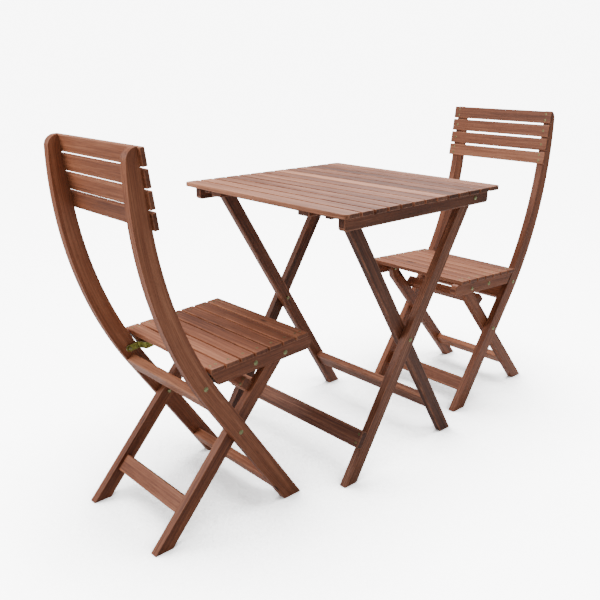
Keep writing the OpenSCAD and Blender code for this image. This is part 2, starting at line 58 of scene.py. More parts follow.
eye = bpy.data.objects.new("view_camera", bpy.data.cameras.new("view_camera"))
bpy.context.scene.collection.objects.link(eye)
eye.location = (1.37313, -1.41137, 1.0347)
eye.rotation_euler = (math.radians(71.84), math.radians(-0.09), math.radians(47.41))
eye.data.lens = 43.85
eye.data.sensor_width = 36.0
eye.data.dof.use_dof = False
bpy.context.scene.camera = eye

# ---------------------------------------------------------------- sizes

TOP_Z = 0.720
SLAT = 0.011
UNDER = TOP_Z - SLAT
TOP_L = 0.610
TOP_D = 0.592
INNER_N = 11
INNER_W = 0.038
EDGE_W = 0.046
CORNER = 0.012
LEG_T = 0.020
LEG_W = 0.037
RAIL_H = 0.034
RAIL_IN = 0.262
RAIL_END = 0.275
RAIL_R = 0.008
BATTEN_X, BATTEN_W = 0.167, 0.038
CROSS_Y, CROSS_Z = 0.002, 0.344
PIVOT = np.array([0.217, 0.693])
OUT_X = 0.2415
IN_X = 0.2205
LEAN = math.atan((PIVOT[0] - CROSS_Y)/(PIVOT[1] - CROSS_Z))
LEG_HEAD_R = 0.015
STRETCH_W, STRETCH_T = 0.046, 0.019
OUTER_STRETCH_Z, INNER_STRETCH_Z = 0.100, 0.106

CHAIR_X, CHAIR_Y = 0.022, 0.505
HALF_W = 0.170
POST_IN = 0.150
REAR_IN = 0.129
CROSS = np.array([0.0, 0.232])
POST_LEAN, REAR_LEAN, BACK_LEAN, SLOPE = (math.radians(a) for a in (34, 41.5, 8, 2.9))
POST_W, REAR_W = 0.044, 0.035
POST_STRAIGHT, POST_TOP_R = 0.400, 0.026
FRONT_R, REAR_R = 0.918, 0.927
REAR_HEAD_R = 0.0125
CHAIR_H = 0.887
CHAIR_SLAT_L, CHAIR_SLAT_W, PITCH = 0.356, 0.036, 0.041
CHAIR_BAR_W, POST_BAR_T, REAR_BAR_T = 0.042, 0.022, 0.018
SEAT_BAR_W, SEAT_BAR_T, SEAT_BAR_OVER = 0.026, 0.028, 0.011
SEAT_FRONT, SEAT_NOSE, SEAT_NOSE_R = 0.0665, 0.017, 0.018
SEAT_RAIL_LOW, SEAT_RAIL_TOP = -0.0145, 0.0215
POST_GAP = 0.006
LINK_T, LINK_R, LINK_IN = 0.003, 0.009, 0.127


def heading(angle):
    """Unit vector in the side view that leans back from upright by angle."""
    return np.array([-math.sin(angle), math.cos(angle)])


def facing(angle):
    """Unit vector square to heading(angle), towards the front."""
    return np.array([math.cos(angle), math.sin(angle)])


UP_POST, ACROSS_POST = heading(POST_LEAN), facing(POST_LEAN)
UP_REAR = heading(-REAR_LEAN)
ACROSS_REAR = -facing(-REAR_LEAN)
SEAT_DIR, SEAT_UP = facing(SLOPE), heading(SLOPE)
OUTER_WAY, INNER_WAY = heading(-LEAN), heading(LEAN)
FRONT_PIVOT = CROSS + 0.208*UP_REAR + 0.0045*ACROSS_REAR
POST_PIVOT = CROSS + 0.163*UP_POST
RAIL_PIVOT = FRONT_PIVOT - 0.088*SEAT_DIR + 0.003*SEAT_UP

# ---------------------------------------------------------------- shapes

ARC = np.linspace(0.0, math.pi/2, 4)


def loop(ease, guard):
    """Rounded rectangle as four corners: which side each point hangs on, how far
    in from that side it lies, and 1 where it is on the eased arc."""
    down = np.stack([1 - np.cos(ARC), 1 - np.sin(ARC)], 1)*ease
    back = down[:, ::-1]
    corners = []
    for turn, arc in enumerate((down, back, down, back)):
        first, last = ((0, guard), (guard, 0)) if turn % 2 == 0 else ((guard, 0), (0, guard))
        corners.append(np.vstack([first, arc, last]))
    inset = np.vstack(corners)
    side = np.repeat(np.array([[0, 0], [1, 0], [1, 1], [0, 1]], float), 6, 0)
    mask = np.tile(np.array([0, 1, 1, 1, 1, 0], float), 4)
    return side, inset, mask


class Stock:
    """Collects boards and turned pieces that become one mesh."""

    def __init__(self, seed):
        self.rng = np.random.default_rng(seed)
        self.points, self.faces, self.grain, self.marks = [], [], [], []
        self.count = 0

    def add(self, points, faces, grain, marks):
        self.faces += [tuple(int(i) + self.count for i in f) for f in faces]
        self.points.append(points)
        self.grain.append(grain)
        self.marks.append(marks)
        self.count += len(points)


def board(stock, low, high, thick, ease=0.0016, tint=None):
    """A board between two edge lines. Ring i is the eased rectangle from low[i] to
    high[i], thick deep; the end rings draw in by ease along a quarter circle, so
    ends are eased like the long edges. The grain runs along the middle line."""
    low, high, thick = (np.asarray(a, float) for a in (low, high, thick))
    depth = np.linalg.norm(thick)
    into = thick/depth
    widths = np.linalg.norm(high - low, axis=1)
    least = min(widths.min(), depth)
    guard, back_off = min(2.6*ease, 0.27*least), min(1.5*ease, 0.2*least)
    ease = min(ease, 0.8*back_off)
    side, inset, mask = loop(ease, guard)
    middle = (low + high)/2
    steps = np.linalg.norm(np.diff(middle, axis=0), axis=1)
    run = np.concatenate([[0], np.cumsum(steps)])
    quarter = np.linspace(0, math.pi/2, 4)
    start = [(0.0, back_off, 0.0)]
    start += [(ease*(1 - math.cos(q)), ease*(1 - math.sin(q)), 1.0) for q in quarter]
    start += [(guard, 0.0, -1.0)]
    rings = list(start)
    rings += [(s, 0.0, -1.0) for s in run[1:-1] if guard*1.05 < s < run[-1] - guard*1.05]
    rings += [(run[-1] - s, d, m) for s, d, m in start[::-1]]
    place = np.array([r[0] for r in rings])
    draw = np.array([r[1] for r in rings])
    lo = np.stack([np.interp(place, run, low[:, k]) for k in range(3)], 1)
    hi = np.stack([np.interp(place, run, high[:, k]) for k in range(3)], 1)
    across = (hi - lo)/np.linalg.norm(hi - lo, axis=1, keepdims=True)
    sign = 1 - 2*side
    along_a = side[None, :, 0:1]*(hi - lo)[:, None, :]
    shift_a = (sign[None, :, 0]*(inset[None, :, 0] + draw[:, None]))[..., None]*across[:, None, :]
    along_b = side[None, :, 1:2]*thick[None, None, :]
    shift_b = (sign[None, :, 1]*(inset[None, :, 1] + draw[:, None]))[..., None]*into
    points = lo[:, None, :] + along_a + shift_a + along_b + shift_b
    mid = ((lo + hi)/2 + thick/2)[:, None, :]
    wide = ((points - mid)*across[:, None, :]).sum(-1)
    deep = (points - mid) @ into
    home = stock.rng.uniform(-1, 1, 3)*(9.0, 0.05, 0.035)
    grain = np.stack([np.broadcast_to(place[:, None], wide.shape) + home[0],
                      wide + home[1], deep + home[2]], -1)
    tone = stock.rng.uniform(-1, 1) if tint is None else tint
    edge = np.where(np.array([r[2] for r in rings])[:, None] > 0, 1.0, mask[None, :])
    edge[0], edge[-1] = 0, 0
    cut_end = np.broadcast_to((draw >= 0.999*ease)[:, None], edge.shape).astype(float)
    marks = np.stack([edge, np.full_like(edge, tone), cut_end], -1)
    n, k = points.shape[:2]
    index = np.arange(n*k).reshape(n, k)
    turn = np.roll(index, -1, axis=1)
    quads = np.stack([index[:-1], index[1:], turn[1:], turn[:-1]], -1).reshape(-1, 4)
    faces = [tuple(q) for q in quads] + [tuple(index[0]), tuple(index[-1][::-1])]
    # the loop turns from low to high to thick; flip where that is left-handed
    forward = middle[-1] - middle[0]
    if np.dot(np.cross(across[0], into), forward) > 0:
        faces = [f[::-1] for f in faces]
    flat = points.reshape(-1, 3)
    stock.add(flat, faces, grain.reshape(-1, 3), marks.reshape(-1, 3))


def turned(stock, profile, place, axis, count=36, cut=None, six=()):
    """A profile of (radius, height) rows turned around axis at place. The first and
    last rows lie on the axis. Rows listed in six follow a hexagon of that inner
    radius, and cut(radius, angle) lowers the top face, for a driver recess."""
    profile = np.asarray(profile, float)
    axis = np.asarray(axis, float)/np.linalg.norm(axis)
    side = np.cross(axis, (0.31, 0.52, 0.8))
    side /= np.linalg.norm(side)
    up = np.cross(axis, side)
    a = np.linspace(0, 2*math.pi, count, endpoint=False)
    rows = profile[1:-1]
    r = np.repeat(rows[:, 0:1], count, 1)
    z = np.repeat(rows[:, 1:2], count, 1)
    for i in six:
        r[i - 1] /= np.cos((a + math.pi/6) % (math.pi/3) - math.pi/6)
    if cut is not None:
        z = z - cut(r, a[None, :])*(z > profile[:, 1].max() - 0.4*np.ptp(profile[:, 1]))
    ring = r[..., None]*(np.cos(a)[:, None]*side + np.sin(a)[:, None]*up) + z[..., None]*axis
    first, last = profile[0, 1], profile[-1, 1]
    if cut is not None:
        first -= float(cut(np.zeros((1, 1)), np.zeros((1, 1)))[0, 0])
    points = np.vstack([ring.reshape(-1, 3), [first*axis], [last*axis]]) + np.asarray(place, float)
    n = len(rows)
    index = np.arange(n*count).reshape(n, count)
    turn = np.roll(index, -1, axis=1)
    quads = np.stack([index[:-1], index[1:], turn[1:], turn[:-1]], -1).reshape(-1, 4)
    faces = [tuple(q) for q in quads]
    faces += [(n*count, int(index[0, j]), int(turn[0, j])) for j in range(count)]
    faces += [(n*count + 1, int(turn[-1, j]), int(index[-1, j])) for j in range(count)]
    stock.add(points, faces, points - np.asarray(place, float) + stock.rng.uniform(-1, 1, 3),
              np.zeros_like(points))


def cross_cut(size, depth):
    """Cross recess: two slots square to each other that get shallow towards their ends."""
    def cut(r, a):
        x, y = r*np.cos(a), r*np.sin(a)
        slot = np.minimum(np.abs(x), np.abs(y)) < 0.23*size
        return depth*slot*np.clip(1.15 - (r/size)**2, 0, 1)
    return cut


def socket_cut(size, depth):
    """Six-sided socket of inner radius size."""
    def cut(r, a):
        inner = r*np.cos((a + math.pi/6) % (math.pi/3) - math.pi/6)
        return depth*(inner < size)
    return cut


def screw_head(stock, place, axis):
    """Countersunk head: a nearly flat disc with a rolled rim, standing a hair proud."""
    rows = [(0, 0.3), (0.4, 0.3), (0.8, 0.3), (1.3, 0.3), (1.8, 0.29), (2.3, 0.27), (2.8, 0.24),
            (3.2, 0.18), (3.5, 0.08), (3.6, -0.1), (2.0, -1.7), (0, -1.8)]
    turned(stock, np.array(rows)*MM, place, axis, 28, cross_cut(2.2*MM, 0.9*MM))


def bolt_head(stock, place, axis):
    """Domed head on a thin washer: an elliptic dome with a six-sided socket."""
    q = np.linspace(0, math.pi/2, 7)
    dome = np.stack([5.6*np.sin(q), 1.0 + 2.3*np.cos(q)], 1)
    rows = [(0, 3.3), (0.7, 3.3), (1.3, 3.28), (1.75, 3.24), (2.1, 3.18), (2.5, 3.1)]
    rows += [tuple(p) for p in dome[dome[:, 0] > 2.7]]
    rows += [(5.6, 0.5), (5.5, 0.35), (0, 0.3)]
    turned(stock, np.array(rows)*HEAD, place, axis, 36, socket_cut(1.6*MM, 1.4*MM))
    washer = [(0, 0.55), (5.0, 0.55), (6.7, 0.5), (6.95, 0.35), (7.0, 0.1), (6.9, 0), (0, 0)]
    turned(stock, np.array(washer)*HEAD, place, axis, 36)


def nut(stock, place, axis, height=5.0, reach=1.4):
    """Six-sided nut with chamfered rims, and the rounded end of the bolt in it."""
    rows = [(0, height), (4.2, height), (4.9, height - 0.1), (5.2, height - 0.6), (5.2, 0.5),
            (4.9, 0.1), (4.2, 0), (0, 0)]
    turned(stock, np.array(rows)*HEAD, place, axis, 36, six=(2, 3, 4, 5))
    tip = [(0, height + reach), (2.2, height + reach), (2.8, height + reach - 0.5),
           (2.8, height - 0.5), (0, height - 0.5)]
    turned(stock, np.array(tip)*HEAD, place, axis, 24)


def bolt_and_nut(stock, sx, place, head_x, nut_x, *nut_size):
    """A bolt along X at a place in the side view: head outside at head_x, nut inside."""
    bolt_head(stock, (sx*head_x, *place), (sx, 0, 0))
    nut(stock, (sx*nut_x, *place), (-sx, 0, 0), *nut_size)


def finish_piece(name, stock, body, node, finish, spot=None):
    """Writes the collected surfaces into one mesh and hands it to its body. finish is
    a slot name, which is not used, and its material. spot, if given, carries points
    from a chair's own frame to its place."""
    slot_name, material = finish
    points = np.vstack(stock.points)
    if spot is not None:
        points = spot(points)
    mesh = bpy.data.meshes.new(name)
    mesh.from_pydata(points.tolist(), [], stock.faces)
    for key, rows in (("grain", stock.grain), ("marks", stock.marks)):
        layer = mesh.attributes.new(key, "FLOAT_VECTOR", "POINT")
        layer.data.foreach_set("vector", np.vstack(rows).astype(np.float32).ravel())
    mesh.polygons.foreach_set("use_smooth", np.ones(len(mesh.polygons), bool))
    mesh.materials.append(material)
    mesh.validate()
    mesh.update()
    piece = bpy.data.objects.new(name, mesh)
    bpy.context.scene.collection.objects.link(piece)
    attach(piece, body)
    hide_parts(node)


def side_plate(stock, x0, t, low, high, **more):
    """A board t thick along X, whose edge lines are (y, z) rows in the side view."""
    low, high = np.atleast_2d(low), np.atleast_2d(high)
    a = np.column_stack([np.full(len(low), x0), low])
    b = np.column_stack([np.full(len(high), x0), high])
    board(stock, a, b, (t, 0, 0), **more)


def bar(stock, half, centre, along, w, t, **more):
    """A board along X from -half to half; its section is w along a direction of the
    side view and t square to it."""
    along = np.asarray(along, float)
    square = np.array([-along[1], along[0]])
    corner = np.asarray(centre, float) - along*w/2 - square*t/2
    low = [(-half, *corner), (half, *corner)]
    high = [(-half, *(corner + along*w)), (half, *(corner + along*w))]
    board(stock, low, high, (0, *(square*t)), **more)

# ---------------------------------------------------------------- materials


def put(tree, kind, **settings):
    """Adds a node. Lower-case names are its settings, other names its sockets, and
    iN is its Nth socket; a socket given as a value is linked."""
    made = tree.nodes.new(kind)
    for key, value in settings.items():
        if key[0].islower() and not (key[0] == "i" and key[1:].isdigit()):
            setattr(made, key, value)
            continue
        socket = made.inputs[int(key[1:])] if key[0] == "i" else made.inputs[key.replace("_", " ")]
        if isinstance(value, bpy.types.NodeSocket):
            tree.links.new(value, socket)
        else:
            socket.default_value = value
    return made


def math_of(tree, operation, a, b=0.0, clamp=False):
    return put(tree, "ShaderNodeMath", operation=operation, use_clamp=clamp, i0=a, i1=b).outputs[0]


def scaled(tree, vector, scale):
    return put(tree, "ShaderNodeVectorMath", operation="MULTIPLY", i0=vector, i1=scale).outputs[0]


def mixed(tree, factor, a, b):
    return put(tree, "ShaderNodeMix", data_type="RGBA", i0=factor, i6=a, i7=b).outputs[2]


def new_group(name, inputs, outputs):
    """Empty node group with its sockets; returns it with its input and output nodes."""
    group = bpy.data.node_groups.new(name, "ShaderNodeTree")
    for label, kind, value in inputs:
        socket = group.interface.new_socket(label, in_out="INPUT", socket_type=kind)
        if value is not None:
            socket.default_value = value
    for label, kind in outputs:
        group.interface.new_socket(label, in_out="OUTPUT", socket_type=kind)
    return group, group.nodes.new("NodeGroupInput"), group.nodes.new("NodeGroupOutput")


def build_grain():
    """Sawn-board figure. Growth rings are circles round an axis along the board,
    bent by slow noise; streaks are noise drawn out along it; pores are short dark
    lines; knots are small scattered spots."""
    g, given, out = new_group(
        "board_grain",
        [("Place", "NodeSocketVector", None), ("Rings", "NodeSocketFloat", 620.0),
         ("Knots", "NodeSocketFloat", 1.0)],
        [("Figure", "NodeSocketFloat"), ("Pores", "NodeSocketFloat"),
         ("Knot", "NodeSocketFloat"), ("Height", "NodeSocketFloat")])
    place = given.outputs["Place"]
    slow = put(g, "ShaderNodeTexNoise", Vector=scaled(g, place, (3.0, 16.0, 16.0)), Scale=1.0,
               Detail=2.0)
    bend = put(g, "ShaderNodeVectorMath", operation="MULTIPLY_ADD", i0=slow.outputs["Color"],
               i1=(0.0, 0.022, 0.022), i2=scaled(g, place, (0.0, 1.0, 1.0))).outputs[0]
    reach = put(g, "ShaderNodeVectorMath", operation="LENGTH", i0=bend).outputs["Value"]
    wave = math_of(g, "SINE", math_of(g, "MULTIPLY", reach, given.outputs["Rings"]))
    ring = put(g, "ShaderNodeMapRange", Value=wave, From_Min=-1.0, From_Max=1.0,
               interpolation_type="SMOOTHSTEP").outputs[0]
    streak = put(g, "ShaderNodeTexNoise", Vector=scaled(g, place, (5.0, 230.0, 230.0)), Scale=1.0,
                 Detail=4.0, Roughness=0.62).outputs["Fac"]
    fine = put(g, "ShaderNodeTexNoise", Vector=scaled(g, place, (14.0, 620.0, 620.0)), Scale=1.0,
               Detail=2.0, Roughness=0.6).outputs["Fac"]
    band = put(g, "ShaderNodeTexNoise", Vector=scaled(g, place, (1.4, 26.0, 26.0)), Scale=1.0,
               Detail=3.0).outputs["Fac"]
    total = put(g, "ShaderNodeMath", operation="MULTIPLY_ADD", i0=ring, i1=0.10,
                i2=-0.04).outputs[0]
    for part, share in ((streak, 0.95), (fine, 0.50), (band, 1.05)):
        total = put(g, "ShaderNodeMath", operation="MULTIPLY_ADD",
                    i0=math_of(g, "SUBTRACT", part, 0.5), i1=share, i2=total).outputs[0]
    g.links.new(total, out.inputs["Figure"])
    dots = put(g, "ShaderNodeTexNoise", Vector=scaled(g, place, (34.0, 850.0, 850.0)), Scale=1.0,
               Detail=1.0).outputs["Fac"]
    pores = put(g, "ShaderNodeMapRange", Value=dots, From_Min=0.60, From_Max=0.70).outputs[0]
    g.links.new(pores, out.inputs["Pores"])
    cells = put(g, "ShaderNodeTexVoronoi", Vector=scaled(g, place, (5.0, 15.0, 15.0)), Scale=1.0,
                Randomness=1.0).outputs["Distance"]
    knot = put(g, "ShaderNodeMapRange", Value=cells, From_Min=0.11, From_Max=0.045,
               interpolation_type="SMOOTHSTEP").outputs[0]
    knot = math_of(g, "MULTIPLY", knot, given.outputs["Knots"], True)
    g.links.new(knot, out.inputs["Knot"])
    rough = math_of(g, "ADD", math_of(g, "MULTIPLY", streak, 0.5),
                    math_of(g, "MULTIPLY", fine, 0.35))
    rough = math_of(g, "SUBTRACT", rough, math_of(g, "MULTIPLY", pores, 0.45))
    g.links.new(rough, out.inputs["Height"])
    return g


def build_wear():
    """Rubbed edges: the eased edge's own mask, broken up by noise."""
    g, given, out = new_group(
        "edge_rub", [("Edge", "NodeSocketFloat", 0.0), ("Place", "NodeSocketVector", None),
                     ("Amount", "NodeSocketFloat", 0.5)], [("Rub", "NodeSocketFloat")])
    patch = put(g, "ShaderNodeTexNoise",
                Vector=scaled(g, given.outputs["Place"], (22.0, 90.0, 90.0)), Scale=1.0,
                Detail=3.0).outputs["Fac"]
    broken = put(g, "ShaderNodeMapRange", Value=patch, From_Min=0.32, From_Max=0.68).outputs[0]
    rub = math_of(g, "MULTIPLY", math_of(g, "MULTIPLY", given.outputs["Edge"], broken),
                  given.outputs["Amount"], True)
    g.links.new(rub, out.inputs["Rub"])
    return g


GRAIN, WEAR = build_grain(), build_wear()


def new_material(name):
    made = bpy.data.materials.new(name)
    made.use_nodes = True
    tree = made.node_tree
    shader = tree.nodes["Principled BSDF"]
    return made, tree, shader


def own(tree, key):
    return put(tree, "ShaderNodeAttribute", attribute_type="GEOMETRY", attribute_name=key)


def group_of(tree, group, **settings):
    return put(tree, "ShaderNodeGroup", node_tree=group, **settings)


def oiled_wood(name, dark, middle, light, tone_share, roughness, knots):
    """Oiled hardwood: figure and each board's own tone run through three browns, with
    darker pores and knots, and slightly polished, paler edges."""
    made, tree, shader = new_material(name)
    place = own(tree, "grain").outputs["Vector"]
    marks = put(tree, "ShaderNodeSeparateXYZ", i0=own(tree, "marks").outputs["Vector"])
    grain = group_of(tree, GRAIN, Place=place, Rings=620.0, Knots=knots)
    rub = group_of(tree, WEAR, Edge=marks.outputs[0], Place=place, Amount=0.45).outputs[0]
    tone = put(tree, "ShaderNodeMath", operation="MULTIPLY_ADD", i0=marks.outputs[1], i1=tone_share,
               i2=grain.outputs["Figure"]).outputs[0]
    ramp = put(tree, "ShaderNodeValToRGB", i0=math_of(tree, "ADD", tone, 0.46, True))
    keys = ramp.color_ramp.elements
    keys[0].position, keys[0].color = 0.0, (*dark, 1)
    keys[1].position, keys[1].color = 1.0, (*light, 1)
    keys.new(0.5).color = (*middle, 1)
    colour = mixed(tree, math_of(tree, "MULTIPLY", grain.outputs["Pores"], 0.30), ramp.outputs[0],
                   (dark[0]*0.5, dark[1]*0.5, dark[2]*0.5, 1))
    colour = mixed(tree, math_of(tree, "MULTIPLY", grain.outputs["Knot"], 0.85), colour,
                   (dark[0]*0.35, dark[1]*0.3, dark[2]*0.3, 1))
    colour = mixed(tree, math_of(tree, "MULTIPLY", marks.outputs[2], 0.55), colour, (*dark, 1))
    colour = mixed(tree, rub, colour, (min(light[0]*1.15, 1), light[1]*1.15, light[2]*1.15, 1))
    tree.links.new(colour, shader.inputs["Base Color"])
    sheen = put(tree, "ShaderNodeMapRange", Value=grain.outputs["Height"], From_Min=0.2, From_Max=0.8,
                To_Min=roughness + 0.10, To_Max=roughness - 0.06).outputs[0]
    tree.links.new(math_of(tree, "SUBTRACT", sheen, math_of(tree, "MULTIPLY", rub, 0.15)),
                   shader.inputs["Roughness"])
    bump = put(tree, "ShaderNodeBump", Strength=0.28, Distance=0.0009, Height=grain.outputs["Height"])
    tree.links.new(bump.outputs[0], shader.inputs["Normal"])
    shader.inputs["Specular IOR Level"].default_value = 0.35
    return made


def plated(name, base, tint, shade, roughness):
    """Passivated zinc: a satin plating whose colour drifts between two tints in
    clouds, with faint drawn scratches and darker spots."""
    made, tree, shader = new_material(name)
    place = own(tree, "grain").outputs["Vector"]
    marks = put(tree, "ShaderNodeSeparateXYZ", i0=own(tree, "marks").outputs["Vector"])
    cloud = put(tree, "ShaderNodeTexNoise", Vector=place, Scale=120.0, Detail=3.0).outputs["Fac"]
    drift = put(tree, "ShaderNodeMapRange", Value=cloud, From_Min=0.35, From_Max=0.65).outputs[0]
    scratch = put(tree, "ShaderNodeTexNoise", Vector=scaled(tree, place, (60.0, 1400.0, 1400.0)),
                  Scale=1.0, Detail=2.0).outputs["Fac"]
    spots = put(tree, "ShaderNodeTexNoise", Vector=place, Scale=650.0, Detail=2.0).outputs["Fac"]
    spot = put(tree, "ShaderNodeMapRange", Value=spots, From_Min=0.58, From_Max=0.72).outputs[0]
    rub = group_of(tree, WEAR, Edge=marks.outputs[0], Place=place, Amount=0.8).outputs[0]
    colour = mixed(tree, drift, (*base, 1), (*tint, 1))
    colour = mixed(tree, math_of(tree, "MULTIPLY", spot, 0.5), colour, (*shade, 1))
    colour = mixed(tree, rub, colour, (0.78, 0.77, 0.70, 1))
    tree.links.new(colour, shader.inputs["Base Color"])
    tree.links.new(put(tree, "ShaderNodeMapRange", Value=scratch, From_Min=0.3, From_Max=0.7,
                       To_Min=roughness - 0.08, To_Max=roughness + 0.12).outputs[0],
                   shader.inputs["Roughness"])
    bump = put(tree, "ShaderNodeBump", Strength=0.12, Distance=0.0003, Height=scratch)
    tree.links.new(bump.outputs[0], shader.inputs["Normal"])
    shader.inputs["Metallic"].default_value = 0.92
    return made


TABLE_WOOD = oiled_wood("table_hardwood", (0.045, 0.012, 0.006), (0.215, 0.072, 0.034),
                        (0.56, 0.245, 0.140), 0.42, 0.42, 0.35)
CHAIR_WOOD = oiled_wood("chair_hardwood", (0.085, 0.022, 0.009), (0.285, 0.092, 0.041),
                        (0.52, 0.215, 0.112), 0.16, 0.44, 1.0)
SCREW_ZINC = plated("screw_zinc", (0.27, 0.24, 0.11), (0.17, 0.18, 0.08), (0.05, 0.04, 0.02), 0.34)
BOLT_ZINC = plated("bolt_zinc", (0.50, 0.49, 0.27), (0.33, 0.37, 0.18), (0.09, 0.09, 0.04), 0.24)
LINK_ZINC = plated("link_zinc", (0.40, 0.36, 0.08), (0.24, 0.25, 0.06), (0.10, 0.08, 0.02), 0.30)

# slot name and material of every finish
ON_TABLE = ("table_wood", TABLE_WOOD)
ON_CHAIR = ("chair_wood", CHAIR_WOOD)
SCREWS = ("screws", SCREW_ZINC)
BOLTS = ("bolts", BOLT_ZINC)
LINKS = ("links", LINK_ZINC)

# ---------------------------------------------------------------- table

# tone of every top board from -Y to +Y: a slow drift, and a few boards that stand out
TOP_TONES = (0.35, 0.25, 0.05, 0.15, 0.0, 0.3, 0.1, 0.75, -0.55, 0.1, -0.75, -0.1, 0.4)


def sides(inner):
    """Number, name and low X of the left and the right plate of a pair that stands
    inner from the middle."""
    return (0, "left", -inner - LEG_T), (1, "right", inner)


def mirrored(values, sign=-1):
    """The values backwards times sign, then the values: both ends of one line."""
    return np.concatenate([sign*values[::-1], values])


def on_floor(point, way):
    """The point, walked along way to the floor."""
    return point - way*point[1]/way[1]


def slat_rows():
    """Low and high Y of every inner top slat, from -Y to +Y."""
    gap = (TOP_D - 2*EDGE_W - INNER_N*INNER_W)/(INNER_N + 1)
    start = -TOP_D/2 + EDGE_W + gap + np.arange(INNER_N)*(INNER_W + gap)
    return start, start + INNER_W


def build_inner_boards():
    low, high = slat_rows()
    stock = Stock(11)
    for i in range(INNER_N):
        a = [(-TOP_L/2, low[i], UNDER), (TOP_L/2, low[i], UNDER)]
        b = [(-TOP_L/2, high[i], UNDER), (TOP_L/2, high[i], UNDER)]
        board(stock, a, b, (0, 0, SLAT), ease=0.0013, tint=TOP_TONES[i + 1])
    finish_piece("top_inner_boards", stock, "table_top", "table_inner_slats", ON_TABLE)


def build_edge_boards():
    """The two outermost boards, with rounded outer corners."""
    stock = Stock(12)
    q = np.linspace(0, math.radians(84), 6)
    x = mirrored(TOP_L/2 - CORNER + CORNER*np.sin(q))
    cut = mirrored(CORNER*(1 - np.cos(q)), 1)
    for s, tone in ((-1, TOP_TONES[0]), (1, TOP_TONES[-1])):
        inner = np.stack([x, np.full_like(x, s*(TOP_D/2 - EDGE_W)), np.full_like(x, UNDER)], 1)
        outer = np.stack([x, s*(TOP_D/2 - cut), np.full_like(x, UNDER)], 1)
        low, high = (inner, outer) if s > 0 else (outer, inner)
        board(stock, low, high, (0, 0, SLAT), ease=0.0015, tint=tone)
    finish_piece("top_edge_boards", stock, "table_top", "table_edge_slats", ON_TABLE)


def build_top_rails():
    """Side rails on edge under the top, with rounded lower corners."""
    q = np.linspace(0, math.radians(80), 6)
    y_low = mirrored(RAIL_END - RAIL_R + RAIL_R*np.sin(q))
    z_low = mirrored(UNDER - RAIL_H + RAIL_R*(1 - np.cos(q)), 1)
    y_top = mirrored(RAIL_END - 0.9*RAIL_R*np.linspace(1, 0, 6))
    low = np.stack([y_low, z_low], 1)
    high = np.stack([y_top, np.full_like(y_top, UNDER)], 1)
    for k, name, x0 in sides(RAIL_IN):
        stock = Stock(13 + k)
        side_plate(stock, x0, LEG_T, low, high, ease=0.0018, tint=-0.55)
        finish_piece(f"top_{name}_rail", stock, "table_top", f"table_{name}_rail", ON_TABLE)


def boards_in_box(seed, node, starts, width, tint):
    """A board along Y from every low X, as long and as high as the node's box."""
    stock = Stock(seed)
    low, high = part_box(node)
    for x0 in starts:
        board(stock, [(x0, low.y, low.z), (x0, high.y, low.z)],
              [(x0 + width, low.y, low.z), (x0 + width, high.y, low.z)],
              (0, 0, high.z - low.z), tint=tint)
    return stock


def build_under_top():
    """The battens, the inner legs' catch blocks and the screws up through the battens."""
    starts = (-BATTEN_X - BATTEN_W/2, BATTEN_X - BATTEN_W/2)
    stock = boards_in_box(15, "table_battens", starts, BATTEN_W, -0.3)
    finish_piece("top_battens", stock, "table_top", "table_battens", ON_TABLE)
    stock = boards_in_box(16, "table_catch_blocks", (-IN_X - LEG_T, IN_X), LEG_T, -0.4)
    finish_piece("top_catch_blocks", stock, "table_top", "table_catch_blocks", ON_TABLE)
    stock = Stock(17)
    low, high = slat_rows()
    outermost = (TOP_D - EDGE_W)/2
    middles = np.concatenate([[-outermost], (low + high)/2, [outermost]])
    under_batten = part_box("table_battens")[0].z
    for s in (-1, 1):
        for y in middles:
            screw_head(stock, (s*BATTEN_X, y, under_batten), (0, 0, -1))
    finish_piece("top_screws", stock, "table_top", "table_slat_screws", SCREWS)


def outer_leg_lines():
    """Edge lines of the outer legs: cut level at the floor, rounded at the pivot."""
    side = np.array([-OUTER_WAY[1], OUTER_WAY[0]])
    foot = np.array([CROSS_Y - CROSS_Z*math.tan(LEAN), 0.0])
    shoulder = OUTER_WAY*(np.linalg.norm(PIVOT - foot) - 0.012)
    q = np.linspace(0, math.radians(72), 6)
    arc = np.array([PIVOT + OUTER_WAY*LEG_HEAD_R*math.sin(a) for a in q])
    wide = LEG_HEAD_R*np.cos(q)[:, None]
    lines = []
    for s in (1, -1):
        edge = foot + s*side*LEG_W/2
        lines.append(np.vstack([on_floor(edge, OUTER_WAY), edge + shoulder, arc + s*side*wide]))
    return lines


def inner_leg_lines():
    """Edge lines of the inner legs: cut level at the floor and just under the slats."""
    side = np.array([INNER_WAY[1], -INNER_WAY[0]])
    foot = np.array([CROSS_Y + CROSS_Z*math.tan(LEAN), 0.0])
    top = UNDER - 0.001
    lines = []
    for s in (1, -1):
        start = on_floor(foot + s*side*LEG_W/2, INNER_WAY)
        end = start + INNER_WAY*top/INNER_WAY[1]
        lines.append(np.vstack([start, (start + end)/2, end]))
    return lines


def build_table_legs():
    for kind, inner, seed, lines, tints in (("outer", OUT_X, 21, outer_leg_lines(), (-0.35, 0.1)),
                                            ("inner", IN_X, 23, inner_leg_lines(), (-0.5, -0.5))):
        for k, name, x0 in sides(inner):
            stock = Stock(seed + k)
            side_plate(stock, x0, LEG_T, *lines, ease=0.002, tint=tints[k])
            finish_piece(f"{kind}_leg_{name}", stock, f"table_{kind}_frame",
                         f"table_{name}_{kind}_leg", ON_TABLE)


